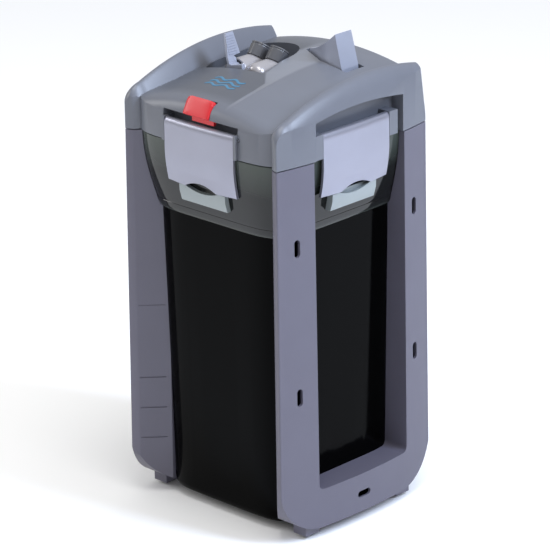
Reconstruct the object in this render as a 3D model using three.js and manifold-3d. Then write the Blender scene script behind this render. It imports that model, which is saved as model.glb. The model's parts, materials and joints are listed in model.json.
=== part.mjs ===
// A large external canister filter for an aquarium: smoked canister between two side frames, a pump
// head held down by four clips, a hose adapter with a lever, and a hand-primed pump.
// Millimetres, +Z up, front towards -Y. The origin is on the floor, under the middle of the canister.
import * as THREE from "three";
import { mergeVertices } from "three/addons/utils/BufferGeometryUtils.js";
import Module from "manifold-3d";

const wasm = await Module();
wasm.setup();

// ---- driving dimensions ----
const gap = 0.4; // air between pieces that touch
const wall = 3; // moulded wall thickness
const cornerPower = 6.5; // squareness of the canister's outline
const seamZ = 451.6; // joint between the head and what is below it
const seamGap = 1.2;

const vessel = { bottomZ: 10, collarZ: 362, bottomX: 98, bottomY: 96, topX: 103, topY: 103 };
const collar = { flare: 16, lip: 2, flareSteps: 7, mouth: 107, ledgeZ: 437.5 };
const frame = { depth: 123.7, side: 131, sideRadius: 650, cornerX: 119.7, noseX: 109.2, noseY: 119.7,
  innerX: 84, innerY: 92 };
const frameFoot = { bottomZ: 11, cornerRadius: 60, spread: 1.024, sillZ: 58 };
const windowSpan = { front: -71, rear: 79 }; // opening of the side frames, along Y
const slot = { width: 8, length: 21, y: 97, upperZ: 357, lowerZ: 179, railZ: 33 };

const head = { side: 120.5, front: 121, peakZ: 526, peakY: 58, lengthRadius: 700, sideDrop: 14.6 };
const arch = { crestX: 113, innerX: 102, radius: 366, crestY: 35, crestZ: 531, rearY: 112.4 };
const shoulder = { width: 17, height: 45, innerDrop: 16 };

const clip = { halfWidth: 54, bottomZ: 405, pivotZ: 474.5, plate: 3.4, pivotIn: 6, knuckle: 5.4, curl: 5 };
const clipPin = { radius: 2, reachOut: 7, clearance: 0.3 };
const recessDepth = 18; // from a clip's outer face to the back of its recess
const hook = { halfWidth: 18, topZ: 431, height: 6, depth: 8 };
const catchBlock = { halfWidth: 36, topZ: 404, bottomZ: 384 };
const fingerNotch = { halfWidth: 26, rise: 7 };

const adapter = { leftX: -76, rightX: -8, frontY: -14, rearY: 32, floorZ: 499, topZ: 508 };
const hose = { xs: [-56, -27], y: 24, baseZ: 509.8, lean: 38, outer: 12, bore: 8.5, start: 5, length: 17 };
const spigot = { radius: 9, bore: 6.5, bottomZ: 466, y: 8, ringZ: 474, ringSection: 1.5 };
const valve = { radius: 8, port: 3.9, axial: 5, y: 8, z: 509.8, length: 22 };
const lever = { lean: 18, foot: 14, reach: 41, baseWidth: 21, tipWidth: 12, y: -6, armX: 19, armZ: 6 };

const flap = { pivotX: 0, pivotZ: 515, gripX: 65.5, topX: 54.5, topZ: 559.5, frontY: 41, rearY: 69 };
const primer = { x: 41, y: 56, outer: 13, bore: 11.6, topZ: 468, bottomZ: 426, rod: 4, collarZ: 503 };
const spring = { radius: 7, wire: 0.7, turns: 4 };

const pump = { x: 20, y: -30, can: 17, canWall: 2, canTopZ: 490, rotor: 13.4, shaft: 2 };
const roller = { radius: 7, width: 8, x: frame.side - 15, y: 77, axle: 1.5 };
const basket = { count: 4, firstZ: 26, pitch: 88, halfX: 90, halfY: 87, wall: 2.4 };
const riser = { x: -76, y: 74, outer: 8, bore: 6 };

// ---- materials ----
function plastic(color, roughness = 0.45, metalness = 0) {
  return new THREE.MeshStandardMaterial({ color, roughness, metalness });
}
const finishes = {
  frame: plastic(0x6f6d7b), head: plastic(0x777980), clip: plastic(0xb9bac8, 0.35),
  vessel: plastic(0x101312, 0.12), red: plastic(0xe5484d, 0.4), hose: plastic(0x8f9095, 0.3),
  dome: plastic(0xcfcbd0, 0.35), lever: plastic(0xb4b8c6), handle: plastic(0xb9c4da),
  black: plastic(0x1b1b1d, 0.6), rubber: plastic(0x222222, 0.9), ceramic: plastic(0xe9e6df, 0.3),
  steel: plastic(0xb8bbc0, 0.3, 1), copper: plastic(0xb4683a, 0.4, 1), magnet: plastic(0x35373b, 0.4, 0.6),
  basket: plastic(0x3b4a52), media: plastic(0xb99a7a, 0.9), coarse: plastic(0x3f6fa8, 0.95),
  fine: plastic(0xf0f0ec, 0.95),
};

// ---- solids from three.js geometry, joined and cut by manifold-3d ----
function solid(geometry) {
  const bare = geometry.clone();
  bare.deleteAttribute("uv");
  bare.deleteAttribute("normal");
  const merged = mergeVertices(bare, 1e-4);
  const vertProperties = merged.attributes.position.array;
  return new wasm.Manifold(new wasm.Mesh({ numProp: 3, vertProperties, triVerts: merged.index.array }));
}

const root = new THREE.Group();
function add(name, body, finish) {
  const mesh = body.getMesh();
  const geometry = new THREE.BufferGeometry();
  geometry.setAttribute("position", new THREE.BufferAttribute(mesh.vertProperties, 3));
  geometry.setIndex(new THREE.BufferAttribute(mesh.triVerts, 1));
  geometry.computeVertexNormals();
  const part = new THREE.Mesh(geometry, finish);
  part.name = name;
  root.add(part);
}

// Moves every vertex of a geometry to where move(x, y, z) says.
function reshape(geometry, move) {
  const place = geometry.attributes.position;
  for (let i = 0; i < place.count; i++) {
    place.setXYZ(i, ...move(place.getX(i), place.getY(i), place.getZ(i)));
  }
  return geometry;
}

function box(x0, x1, y0, y1, z0, z1) {
  const geometry = new THREE.BoxGeometry(x1 - x0, y1 - y0, z1 - z0);
  return solid(geometry.translate((x0 + x1) / 2, (y0 + y1) / 2, (z0 + z1) / 2));
}

function outlineFrom(points) {
  return new THREE.Shape(points.map(([a, b]) => new THREE.Vector2(a, b)));
}

function extrude(shape, depth, steps = 1) {
  return new THREE.ExtrudeGeometry(shape, { depth, steps, curveSegments: 8, bevelEnabled: false });
}

// A plan outline (x, y) carried from z0 up to z1.
function upright(shape, z0, z1) {
  return solid(extrude(shape, z1 - z0).translate(0, 0, z0));
}

// A side outline (y, z) carried from x0 to x1.
function acrossGeometry(shape, x0, x1, steps) {
  const axes = new THREE.Matrix4().makeBasis(
    new THREE.Vector3(0, 1, 0), new THREE.Vector3(0, 0, 1), new THREE.Vector3(1, 0, 0));
  return extrude(shape, x1 - x0, steps).applyMatrix4(axes).translate(x0, 0, 0);
}
function across(shape, x0, x1) {
  return solid(acrossGeometry(shape, x0, x1, 1));
}

// A front outline (x, z) carried from y0 back to y1.
function backward(shape, y0, y1) {
  return solid(extrude(shape, y1 - y0).rotateX(Math.PI / 2).translate(0, y1, 0));
}

// A round bar from point a to point b.
function bar(a, b, radius, sides = 20) {
  const from = new THREE.Vector3(...a);
  const along = new THREE.Vector3(...b).sub(from);
  const geometry = new THREE.CylinderGeometry(radius, radius, along.length(), sides);
  const turn = new THREE.Quaternion().setFromUnitVectors(
    new THREE.Vector3(0, 1, 0), along.clone().normalize());
  geometry.applyQuaternion(turn).translate(...from.addScaledVector(along, 0.5).toArray());
  return solid(geometry);
}
function post(x, y, z0, z1, radius, sides = 20) {
  return bar([x, y, z0], [x, y, z1], radius, sides);
}

// A ring of rectangular section about a vertical axis.
function ring(x, y, z0, z1, inner, outer, sides = 28) {
  return post(x, y, z0, z1, outer, sides).subtract(post(x, y, z0 - 1, z1 + 1, inner, sides));
}

function turned(body, degrees) {
  return body.rotate([0, 0, degrees]);
}

// The squarish outline |x/a|^p + |y/b|^p = 1 of the canister, its baskets and the head.
function squircle(halfX, halfY, points = 48) {
  const outline = [];
  for (let i = 0; i < points; i++) {
    const t = (2 * Math.PI * i) / points;
    const bent = (v) => Math.sign(v) * Math.abs(v) ** (2 / cornerPower);
    outline.push([halfX * bent(Math.cos(t)), halfY * bent(Math.sin(t))]);
  }
  return outlineFrom(outline);
}

// The squarish outline with half sizes sizeAt(z) = [x, y] from z0 to z1.
function tower(z0, z1, steps, sizeAt) {
  const geometry = extrude(squircle(1, 1), z1 - z0, steps).translate(0, 0, z0);
  return solid(reshape(geometry, (x, y, z) => [x * sizeAt(z)[0], y * sizeAt(z)[1], z]));
}

// ---- outlines shared by several pieces ----
const sides = [
  { name: "front", turn: 0, reach: 125.5, front: 58.5, rear: 58.5, topZ: 488.6, arched: 0 },
  { name: "right", turn: 90, reach: 127, front: 68, rear: 77, topZ: 496, arched: 7 },
  { name: "rear", turn: 180, reach: 125.5, front: 58.5, rear: 58.5, topZ: 488.6, arched: 0 },
  { name: "left", turn: -90, reach: 127, front: 77, rear: 68, topZ: 496, arched: 7 },
];

function vesselSize(z, grow) {
  const low = (z - vessel.bottomZ) / (vessel.collarZ - vessel.bottomZ);
  const blend = (a, b) => a + (b - a) * Math.min(1, low) + grow;
  return [blend(vessel.bottomX, vessel.topX), blend(vessel.bottomY, vessel.topY)];
}

// The collar swells outwards as a quarter sine from its lower edge to the seam.
function collarSize(z, grow) {
  const up = (z - vessel.collarZ) / (seamZ - vessel.collarZ);
  const swell = collar.lip + (collar.flare - collar.lip) * Math.sin((Math.PI / 2) * up);
  return [vessel.topX + swell + grow, vessel.topY + swell + 1 + grow];
}

function vesselBody(grow) {
  const topZ = seamZ - seamGap / 2;
  const bucket = tower(vessel.bottomZ - grow, vessel.collarZ + 1, 1, (z) => vesselSize(z, grow));
  const rim = tower(vessel.collarZ - grow, topZ + grow, collar.flareSteps, (z) => collarSize(z, grow));
  return bucket.add(rim);
}

// Half of the object's side, from above: nose, corner and bulging flank, closed inside at innerX.
function flankOutline(innerX) {
  const cornerY = frame.depth - 4;
  const flank = [];
  for (let i = 0; i <= 12; i++) {
    const y = -cornerY + (2 * cornerY * i) / 12;
    flank.push([frame.side - (y * y) / (2 * frame.sideRadius), y]);
  }
  const nose = [[innerX, frame.innerY], [frame.noseX, frame.noseY], [frame.cornerX - 2, frame.depth - 0.6],
    [frame.cornerX - 0.3, frame.depth - 1.6]];
  const front = nose.map(([x, y]) => [x, -y]);
  return outlineFrom([...front, ...flank, ...nose.reverse()]);
}

// The room inside a side frame: its outline drawn in by a wall, and carried on past the open side.
function hollowOutline() {
  const slant = [frame.noseX - frame.innerX, frame.noseY - frame.innerY];
  const inward = slant.map((v) => (wall * v) / Math.hypot(...slant)).reverse();
  const open = [frame.innerX - slant[0] + inward[0], frame.innerY - slant[1] - inward[1]];
  const nose = [frame.noseX + wall / 3, frame.noseY - 1.2 * wall];
  const inside = flankOutline(frame.innerX).getPoints().map(({ x, y }) => {
    const [toX, toY] = x <= frame.innerX ? open : x <= frame.noseX ? nose : [x - wall, Math.abs(y) - wall];
    return [toX, toY * Math.sign(y)];
  });
  return outlineFrom(inside);
}

// The U of a side frame, from the side; trim shrinks it by a wall.
function frameProfile(trim) {
  const deep = frame.depth * frameFoot.spread - trim;
  const low = frameFoot.bottomZ + trim;
  const bend = frameFoot.cornerRadius - trim;
  const top = seamZ + 10;
  const shape = new THREE.Shape();
  shape.moveTo(-deep, top);
  shape.lineTo(-deep, low + bend);
  shape.absarc(-deep + bend, low + bend, bend, Math.PI, 1.5 * Math.PI, false);
  shape.lineTo(deep - bend, low);
  shape.absarc(deep - bend, low + bend, bend, 1.5 * Math.PI, 2 * Math.PI, false);
  shape.lineTo(deep, top);
  shape.lineTo(windowSpan.rear + trim, top);
  shape.lineTo(windowSpan.rear + trim, frameFoot.sillZ - trim + 6);
  shape.lineTo(windowSpan.rear + trim - 6, frameFoot.sillZ - trim);
  shape.lineTo(windowSpan.front - trim + 6, frameFoot.sillZ - trim);
  shape.lineTo(windowSpan.front - trim, frameFoot.sillZ - trim + 6);
  shape.lineTo(windowSpan.front - trim, top);
  return shape;
}

function obround(length, width, center, vertical) {
  const half = (length - width) / 2;
  const shape = new THREE.Shape();
  shape.absarc(half, 0, width / 2, -Math.PI / 2, Math.PI / 2, false);
  shape.absarc(-half, 0, width / 2, Math.PI / 2, 1.5 * Math.PI, false);
  const points = shape.getPoints(6).slice(0, -1);
  return outlineFrom(points.map((p) => (vertical
    ? [center[0] - p.y, center[1] + p.x]
    : [center[0] + p.x, center[1] + p.y])));
}

// ---- side frames ----
function rollerWell(y) {
  const block = box(roller.x - 12, roller.x + 8, y - 11, y + 11, roller.radius - 3.5, 20);
  const half = roller.width / 2 + 1;
  const well = bar([roller.x - half, y, roller.radius], [roller.x + half, y, roller.radius], roller.radius + 1.2, 28)
    .add(box(roller.x - half, roller.x + half, y - 8.2, y + 8.2, 0, roller.radius));
  const hole = bar([roller.x - 11.5, y, roller.radius], [roller.x + 7.5, y, roller.radius], roller.axle + 0.25, 12);
  return { block, cut: well.add(hole) };
}

function sideFrame() {
  const z0 = frameFoot.bottomZ - 2;
  const spread = (x, y, z) => {
    const grow = 1 + (frameFoot.spread - 1) * ((seamZ - z) / (seamZ - frameFoot.bottomZ));
    return [x * grow, y * grow, z];
  };
  const topZ = seamZ - seamGap / 2;
  const skin = solid(reshape(extrude(flankOutline(frame.innerX), topZ - z0).translate(0, 0, z0), spread));
  const outside = frame.side * frameFoot.spread + 5;
  const outer = skin.intersect(across(frameProfile(0), 80, outside));
  const hollow = solid(reshape(extrude(hollowOutline(), topZ).translate(0, 0, z0), spread))
    .intersect(across(frameProfile(wall), 50, outside));
  let body = outer.subtract(hollow);
  const wells = [roller.y, -roller.y].map(rollerWell);
  for (const well of wells) body = body.add(well.block);
  for (const well of wells) body = body.subtract(well.cut);
  for (const y of [slot.y, -slot.y]) {
    for (const z of [slot.upperZ, slot.lowerZ]) {
      body = body.subtract(across(obround(slot.length, slot.width, [y, z], true), frame.side - 13, outside));
    }
  }
  body = body.subtract(across(obround(slot.length, slot.width, [0, slot.railZ], false), frame.side - 13, outside));
  return body.subtract(vesselBody(gap));
}

function sideFrames() {
  const right = sideFrame();
  add("side_frame_right", right, finishes.frame);
  add("side_frame_left", right.mirror([1, 0, 0]), finishes.frame);
}

// ---- canister ----
function canister() {
  let body = vesselBody(0);
  for (const side of sides) {
    const { halfWidth, bottomZ, topZ } = catchBlock;
    const face = -(side.reach - clip.curl);
    const block = outlineFrom([[face + 4, bottomZ], [-96, bottomZ], [-96, topZ], [face, topZ]]);
    body = body.add(turned(across(block, -halfWidth, halfWidth), side.turn));
  }
  const inside = tower(vessel.bottomZ + wall + 1, collar.ledgeZ, 1, (z) => vesselSize(z, -wall));
  const mouth = tower(collar.ledgeZ - 0.5, seamZ + 5, 1, () => [collar.mouth, collar.mouth]);
  body = body.subtract(inside).subtract(mouth);
  for (const side of sides) {
    const inner = side.reach - clip.plate - hook.depth - 1;
    const pocket = box(-hook.halfWidth - 2, hook.halfWidth + 2, -140, -inner, hook.topZ - hook.height - 4,
      hook.topZ + 1);
    body = body.subtract(turned(pocket, side.turn));
  }
  add("canister_vessel", body, finishes.vessel);
}

// ---- head cover ----
function topZ(x, y, inset) {
  const along = head.peakZ - (y - head.peakY) ** 2 / (2 * head.lengthRadius);
  return along - head.sideDrop * (x / 108) ** 2 - inset;
}

// The head's rounded block, its top a shallow dome and its front top edge rolled over.
function headBlock(inset, bottomZ) {
  const deep = head.front - inset;
  const profile = [[-deep, bottomZ], [-deep, 486 - inset], [-deep + 3.5, 497 - inset]];
  for (let i = 0; i <= 14; i++) {
    const y = -deep + 9 + ((2 * deep - 13) * i) / 14;
    profile.push([y, topZ(0, y, inset)]);
  }
  profile.push([deep, topZ(0, deep, inset) - 5], [deep, bottomZ]);
  const geometry = acrossGeometry(outlineFrom(profile.reverse()), -head.side - 1, head.side + 1, 12);
  reshape(geometry, (x, y, z) => {
    const share = Math.min(1, Math.max(0, (z - seamZ) / (topZ(0, y, inset) - seamZ)));
    return [x, y, z - share * (topZ(0, y, 0) - topZ(x, y, 0))];
  });
  return solid(geometry).intersect(upright(squircle(head.side - inset, deep), bottomZ - 1, 540));
}

function crestZ(y) {
  return arch.crestZ - arch.radius + Math.sqrt(arch.radius ** 2 - (y - arch.crestY) ** 2);
}

// One raised side arch: its crest runs front to back, with an oval shoulder outside and a slope inside.
function sideArch(bottomZ) {
  const deep = frame.depth;
  const profile = [[-deep, bottomZ], [-deep + 1, 484], [-deep + 4, 493], [-deep + 9, 499]];
  for (let i = 0; i <= 14; i++) {
    const y = -105 + ((arch.rearY + 105) * i) / 14;
    profile.push([y, crestZ(y)]);
  }
  profile.push([deep, bottomZ]);
  const start = 94;
  const geometry = acrossGeometry(outlineFrom(profile.reverse()), start, arch.crestX + shoulder.width + 1, 12);
  reshape(geometry, (x, y, z) => {
    const out = Math.min(0.995, Math.max(0, (x - arch.crestX) / shoulder.width));
    const inward = Math.max(0, (arch.crestX - x) / (arch.crestX - arch.innerX));
    const drop = shoulder.height * (1 - Math.sqrt(1 - out * out)) + shoulder.innerDrop * inward ** 1.3;
    const share = Math.min(1, Math.max(0, (z - bottomZ) / (crestZ(y) - bottomZ)));
    return [x, y, z - drop * share];
  });
  const plan = upright(flankOutline(start - 2), bottomZ - 1, 540);
  return solid(geometry).intersect(plan);
}

function recess(side) {
  const floor = side.reach - recessDepth;
  const outline = new THREE.Shape();
  outline.moveTo(-side.front, 400);
  outline.lineTo(side.rear, 400);
  outline.lineTo(side.rear, side.topZ);
  outline.quadraticCurveTo((side.rear - side.front) / 2, side.topZ + 2 * side.arched, -side.front, side.topZ);
  return turned(backward(outline, -150, -floor), side.turn);
}

// The two ears that hold a clip's pin, at both ends of its recess.
function ears(side) {
  const floor = side.reach - recessDepth - 1;
  const inner = clip.halfWidth + gap;
  const outer = clip.halfWidth + 14;
  const z0 = seamZ + seamGap / 2;
  const right = box(inner, outer, -(side.reach - 1), -floor, z0, clip.pivotZ + 6);
  const left = box(-outer, -inner, -(side.reach - 1), -floor, z0, clip.pivotZ + 6);
  return turned(right.add(left), side.turn);
}

function pinLine(side, radius, extra) {
  const y = -(side.reach - clip.pivotIn);
  const end = clip.halfWidth + clipPin.reachOut + extra;
  return turned(bar([-end, y, clip.pivotZ], [end, y, clip.pivotZ], radius, 16), side.turn);
}

const adapterPocket = [[2, -20], [-9, 21], [-13, 48], [-22, 66], [-38, 77], [-60, 80], [-92, 76], [-96, 40],
  [-96, 0], [-88, -24]];
const flapPlan = [[flap.gripX + 1, flap.frontY], [32, flap.frontY + 3], [-10, flap.rearY - 1.5],
  [-10, flap.rearY], [flap.gripX + 1, flap.rearY]];
const flapHole = [[73, flap.frontY - 1.5], [31, flap.frontY + 1.2], [-13, flap.rearY - 3],
  [-13, flap.rearY + 1.5], [73, flap.rearY + 1.5]];

function headCover() {
  const z0 = seamZ + seamGap / 2;
  const arches = sideArch(z0).add(sideArch(z0).mirror([1, 0, 0]));
  let body = headBlock(0, z0).add(arches);
  const cavitySize = 105;
  let cavity = headBlock(wall, z0 - 5).intersect(upright(squircle(cavitySize, cavitySize), z0 - 5, 540));
  const pocketWall = adapterPocket.map(([x, y]) => [(x + 48) * 1.07 - 48, (y - 28) * 1.07 + 28]);
  cavity = cavity.subtract(upright(outlineFrom(pocketWall), adapter.floorZ - wall, 560));
  body = body.subtract(cavity);
  for (const side of sides) body = body.subtract(recess(side));
  for (const side of sides) body = body.add(ears(side).subtract(recessTop(side)));
  for (const side of sides) body = body.subtract(pinLine(side, clipPin.radius + 0.25, 0.3));
  body = body.subtract(upright(outlineFrom(adapterPocket), adapter.floorZ, 560));
  for (const x of hose.xs) body = body.subtract(post(x, spigot.y, 480, 520, spigot.radius + 4.6, 24));
  body = body.add(flapBrackets());
  body = body.subtract(upright(outlineFrom(flapHole), 480, 560));
  body = body.subtract(bar([flap.pivotX, 53, flap.pivotZ], [flap.pivotX, 79, flap.pivotZ], 2.05, 16));
  body = body.subtract(bar([80, 100, 468], [80, 130, 468], 6.4, 20));
  body = body.subtract(buttonBlock(gap, 3));
  add("head_cover", body, finishes.head);
}

// Keeps an ear's far corners inside the recess walls.
function recessTop(side) {
  return turned(box(-200, -side.front, -200, 0, 440, 520).add(box(side.rear, 200, -200, 0, 440, 520)), side.turn);
}

function flapBrackets() {
  const roof = topZ(0, 65, 1);
  return box(-6, 6, 53, 60, flap.pivotZ - 6, roof).add(box(-6, 6, 71, 79, flap.pivotZ - 6, roof));
}

// ---- clips ----
// The plate follows the collar: upright at the top, curving in by curl towards its lower edge.
function clipSection() {
  const face = clip.plate;
  const top = clip.pivotZ + clip.knuckle;
  const bendZ = clip.bottomZ + 30;
  const shape = new THREE.Shape();
  shape.moveTo(clip.curl, clip.bottomZ);
  shape.quadraticCurveTo(0.8, bendZ - 10, 0, bendZ + 8);
  shape.lineTo(0, clip.pivotZ);
  shape.quadraticCurveTo(0, top, clip.pivotIn, top);
  shape.absarc(clip.pivotIn, clip.pivotZ, clip.knuckle, Math.PI / 2, -Math.PI / 2, true);
  shape.lineTo(face, clip.pivotZ - 8);
  shape.lineTo(face, bendZ + 8);
  shape.quadraticCurveTo(face + 0.8, bendZ - 10, face + clip.curl - 0.3, clip.bottomZ);
  return shape;
}

function clips() {
  for (const side of sides) {
    const start = -side.reach;
    let body = solid(acrossGeometry(clipSection(), -clip.halfWidth, clip.halfWidth, 1)).translate([0, start, 0]);
    body = body.add(box(-hook.halfWidth, hook.halfWidth, start + clip.plate - 1,
      start + clip.plate + hook.depth, hook.topZ - hook.height, hook.topZ - hook.height + 4));
    const pinY = start + clip.pivotIn;
    body = body.subtract(bar([-70, pinY, clip.pivotZ], [70, pinY, clip.pivotZ],
      clipPin.radius + clipPin.clearance, 16));
    const notch = new THREE.Shape();
    notch.moveTo(-fingerNotch.halfWidth, clip.bottomZ - 1);
    notch.lineTo(fingerNotch.halfWidth, clip.bottomZ - 1);
    notch.quadraticCurveTo(0, clip.bottomZ + 2 * fingerNotch.rise, -fingerNotch.halfWidth, clip.bottomZ - 1);
    body = body.subtract(backward(notch, start - 5, start + clip.curl + clip.plate + 1));
    add("clip_" + side.name, turned(body, side.turn), finishes.clip);
    add("clip_pin_" + side.name, pinLine(side, clipPin.radius, 0), finishes.steel);
  }
}

// ---- red button above the front clip, set square to the head's rolled front edge ----
const button = { x: -6, halfWidth: 20, y: -115.5, z: 498.2, slope: 62, halfLength: 11, proud: 3, deep: 5 };

// The button's block, grown all round by grow and reaching deeper by travel.
function buttonBlock(grow, travel) {
  const { x, halfWidth, halfLength, proud, deep } = button;
  const block = box(x - halfWidth - grow, x + halfWidth + grow, -proud - grow * 20, deep + grow + travel,
    -halfLength - grow, halfLength + grow);
  return block.rotate([button.slope - 90, 0, 0]).translate([0, button.y, button.z]);
}
function frontButton() {
  const low = clip.pivotZ + clip.knuckle + 3;
  const tongue = box(-14, 12, -119.5, -115.5, low, button.z - 6).add(box(-14, 20, -119.5, -115.5, low, 488.1));
  const round = bar([-40, button.y + 8, button.z - 1], [40, button.y + 8, button.z - 1], 14, 40);
  add("front_button", buttonBlock(0, 0).intersect(round.add(tongue)).add(tongue), finishes.red);
}

// ---- hose adapter ----
function adapterBody() {
  const z0 = adapter.floorZ + gap;
  const domeZ = adapter.topZ - 2;
  let body = box(adapter.leftX, adapter.rightX, adapter.frontY, adapter.rearY, z0, adapter.topZ);
  for (const x of hose.xs) {
    body = body.add(bar([x, adapter.frontY + 4, domeZ], [x, adapter.rearY, domeZ], 14, 28)
      .intersect(box(-90, 0, -30, 40, z0, 560)));
    body = body.add(post(x, spigot.y, spigot.bottomZ, z0 + 1, spigot.radius, 28));
  }
  const inPocket = adapterPocket.map(([x, y]) => [x - 0.6 * Math.sign(x + 40), y]);
  body = body.intersect(upright(outlineFrom(inPocket), 400, 600));
  for (const x of hose.xs) {
    const y0 = valve.y - valve.length / 2;
    const ringRoom = ring(x, spigot.y, spigot.ringZ - 1.9, spigot.ringZ + 1.9, spigot.radius - 1.8,
      spigot.radius + 2);
    body = body.subtract(ringRoom)
      .subtract(post(x, spigot.y, 460, z0 - 2, spigot.bore, 24))
      .subtract(post(x, spigot.y, 460, valve.z, valve.port, 20))
      .subtract(bar([x, y0 - 0.5, valve.z], [x, y0 + valve.length + 0.5, valve.z], valve.radius + 0.35, 28))
      .subtract(bar([x, valve.y, valve.z], [x, hose.y + 1, valve.z], valve.axial, 20))
      .subtract(hoseLine(x, 0, 16, valve.axial, 20))
      .subtract(hoseLine(x, hose.start - 0.4, 50, hose.outer + gap));
  }
  const [leftX] = hose.xs;
  const leverRoom = box(leftX - 22, leftX + 9, adapter.frontY - 4, valve.y - valve.length / 2 + 0.4,
    z0 + 1.4, 560);
  const spindle = bar([leftX, adapter.frontY, valve.z], [leftX, valve.y, valve.z], 3.4, 20);
  body = body.subtract(leverRoom).subtract(spindle);
  add("adapter_body", body, finishes.dome);
}

// A stretch of the hose axis at x, from start to end along it.
function hoseLine(x, start, end, radius, sides = 28) {
  const lean = (hose.lean * Math.PI) / 180;
  const at = (s) => [x, hose.y + s * Math.sin(lean), hose.baseZ + s * Math.cos(lean)];
  return bar(at(start), at(end), radius, sides);
}

function hoseNozzles() {
  hose.xs.forEach((x, i) => {
    const tube = hoseLine(x, hose.start, hose.start + hose.length, hose.outer)
      .subtract(hoseLine(x, 0, 60, hose.bore));
    add("hose_nozzle_" + ["left", "right"][i], tube, finishes.hose);
    const seal = ring(x, spigot.y, spigot.ringZ - spigot.ringSection, spigot.ringZ + spigot.ringSection,
      spigot.radius - 1.4, spigot.radius + 0.3);
    add("adapter_oring_" + ["left", "right"][i], seal, finishes.rubber);
  });
}

// Each plug lets water in through its side and out of its rear end; the left one carries the lever.
function valvePlugs() {
  hose.xs.forEach((x, i) => {
    const y0 = valve.y - valve.length / 2;
    let plug = bar([x, y0, valve.z], [x, y0 + valve.length, valve.z], valve.radius, 28);
    if (i === 0) plug = plug.add(bar([x, lever.y - 8, valve.z], [x, y0 + 1, valve.z], 3, 16));
    plug = plug.subtract(post(x, valve.y, 490, valve.z, valve.port, 20))
      .subtract(bar([x, valve.y, valve.z], [x, y0 + valve.length + 1, valve.z], valve.axial, 20));
    add("valve_plug_" + ["left", "right"][i], plug, finishes.black);
  });
}

function adapterLever() {
  const half = 1.6;
  const [leftX] = hose.xs;
  const front = lever.y - 10;
  const rear = valve.y - valve.length / 2 - gap;
  const blade = outlineFrom([[front, 0], [front, lever.foot], [lever.y - lever.tipWidth / 2 + 1.5, lever.reach],
    [lever.y + lever.tipWidth / 2 + 1.5, lever.reach], [lever.y + lever.baseWidth / 2, lever.foot + 1],
    [lever.y, lever.foot], [rear, lever.foot - 3], [rear, 0]]);
  let body = across(blade, -half, half);
  for (let i = 0; i < 8; i++) {
    const z = lever.foot + 2 + i * 3;
    body = body.add(box(half - 0.5, half + 0.8, lever.y - 7, lever.y + 6.5, z, z + 1.4));
  }
  body = body.rotate([0, -lever.lean, 0]);
  const arm = outlineFrom([[0, -4], [lever.armX + 1, lever.armZ - 3], [lever.armX, lever.armZ + 3], [0, 5]]);
  body = body.add(backward(arm, front, adapter.frontY + 3.4)).add(bar([0, front, 0], [0, rear, 0], 6, 20));
  body = body.translate([leftX, 0, valve.z]);
  body = body.subtract(bar([leftX, lever.y - 8.4, valve.z], [leftX, 0, valve.z], 3.3, 16));
  add("adapter_lever", body, finishes.lever);
}

// ---- priming handle and pump ----
function primingHandle() {
  const side = new THREE.Shape();
  side.moveTo(-10, flap.pivotZ - 5);
  side.lineTo(flap.gripX + 0.6, flap.pivotZ - 5);
  side.lineTo(flap.gripX, topZ(60, 55, 0) - 0.5);
  side.lineTo(flap.topX, flap.topZ);
  side.quadraticCurveTo(28, 532, -6, 526.5);
  side.lineTo(-10, 522);
  const plan = upright(outlineFrom(flapPlan), 490, 570);
  let body = backward(side, flap.frontY, flap.rearY).intersect(plan);
  body = body.subtract(bar([flap.pivotX, 50, flap.pivotZ], [flap.pivotX, 80, flap.pivotZ], 2.1, 16));
  add("priming_handle", body, finishes.handle);
  add("priming_handle_pin", bar([flap.pivotX, 54, flap.pivotZ], [flap.pivotX, 78, flap.pivotZ], 1.8, 16),
    finishes.steel);
}

function primingPump() {
  const { x, y } = primer;
  const tube = ring(x, y, primer.bottomZ, primer.topZ, primer.bore, primer.outer, 28)
    .add(ring(x, y, primer.bottomZ, primer.bottomZ + 2, 3, primer.outer, 28));
  add("priming_cylinder", tube, finishes.black);
  const tip = new THREE.SphereGeometry(primer.rod, 16, 10).rotateX(Math.PI / 2)
    .translate(x, y, flap.pivotZ - 5 - 1 - primer.rod);
  const piston = post(x, y, primer.topZ - 10, primer.topZ - 5, primer.bore - 0.35, 28)
    .add(post(x, y, primer.topZ - 6, flap.pivotZ - 10, primer.rod, 16))
    .add(post(x, y, primer.collarZ - 2, primer.collarZ, 9, 20))
    .add(solid(tip));
  add("priming_piston", piston, finishes.black);
  primingSpring(primer.topZ + gap, primer.collarZ - 2 - gap);
}

class Coil extends THREE.Curve {
  constructor(low, high) {
    super();
    this.low = low;
    this.high = high;
  }

  getPoint(t) {
    const angle = 2 * Math.PI * spring.turns * t;
    return new THREE.Vector3(primer.x + spring.radius * Math.cos(angle),
      primer.y + spring.radius * Math.sin(angle), this.low + (this.high - this.low) * t);
  }
}

function primingSpring(low, high) {
  const path = new Coil(low + spring.wire, high - spring.wire);
  const section = new THREE.Shape();
  section.absarc(0, 0, spring.wire, 0, 2 * Math.PI, false);
  const wire = new THREE.ExtrudeGeometry(outlineFrom(section.getPoints(3).slice(0, -1).map((p) => [p.x, p.y])),
    { steps: spring.turns * 12, bevelEnabled: false, extrudePath: path });
  add("priming_spring", solid(wire), finishes.steel);
}

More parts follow.
